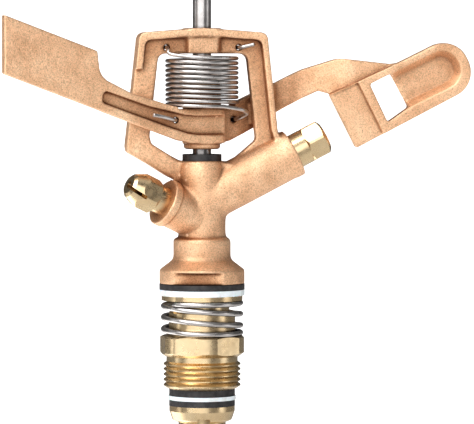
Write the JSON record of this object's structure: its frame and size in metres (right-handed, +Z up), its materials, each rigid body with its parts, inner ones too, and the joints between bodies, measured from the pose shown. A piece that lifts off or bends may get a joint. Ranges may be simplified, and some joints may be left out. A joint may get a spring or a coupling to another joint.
{
  "type": "impact sprinkler head",
  "caption": "Impact sprinkler head: a jet swings a sprung arm on a bridge, and its blows turn the body on a sleeve in a male pipe thread.",
  "frame": {"origin": "on the spin axis, half-way along the inlet thread", "axes": "+Z up the spin axis towards the fulcrum pin, +X towards the side that the range nozzle throws to, the bridge in the XZ plane"},
  "size_m": [0.1652, 0.0387, 0.1489],
  "materials": {
    "cast_bronze": "sand-cast, matt",
    "machined_brass": "turned, bright",
    "stainless_pin": "ground, bright",
    "stainless_wire": "drawn wire, bright",
    "black_rubber": "moulded, satin",
    "white_ptfe": "turned, waxy",
    "vane_plastic": "moulded, matt"
  },
  "bodies": {
    "inlet": {"bearing_nipple": "machined_brass", "bearing_spring": "stainless_wire"},
    "thrust_collar": {"spring_cap": "machined_brass", "thrust_washer_ptfe": "white_ptfe", "thrust_washer_rubber": "black_rubber"},
    "head": {"bearing_sleeve": "machined_brass", "lower_washer_rubber_lower": "black_rubber", "lower_washer_ptfe": "white_ptfe", "lower_washer_rubber_upper": "black_rubber", "body_casting": "cast_bronze", "fulcrum_pin": "stainless_pin", "pin_washer_rubber": "black_rubber", "range_nozzle": "machined_brass", "stream_vane": "vane_plastic", "spreader_nozzle": "machined_brass", "arm_spring": "stainless_wire"},
    "arm": {"arm_casting": "cast_bronze", "arm_bearing_lower": "machined_brass", "arm_bearing_upper": "machined_brass", "arm_washer_upper": "white_ptfe"}
  },
  "joints": [
    {"name": "head_press", "type": "slide", "parent": "inlet", "child": "thrust_collar", "axis": [0, 0, 1], "range_m": [-0.004, 0], "stiffness_N_per_m": 2100, "springref_m": 0.008, "deforming": ["bearing_spring"]},
    {"name": "head_spin", "type": "hinge", "parent": "thrust_collar", "child": "head", "pos_m": [0, 0, 0.0314], "axis": [0, 0, 1], "continuous": true},
    {"name": "arm_swing", "type": "hinge", "parent": "head", "child": "arm", "pos_m": [0, 0, 0.09], "axis": [0, 0, 1], "range_deg": [0, 120], "stiffness_Nm_per_rad": 0.037, "springref_deg": -85.94}
  ]
}
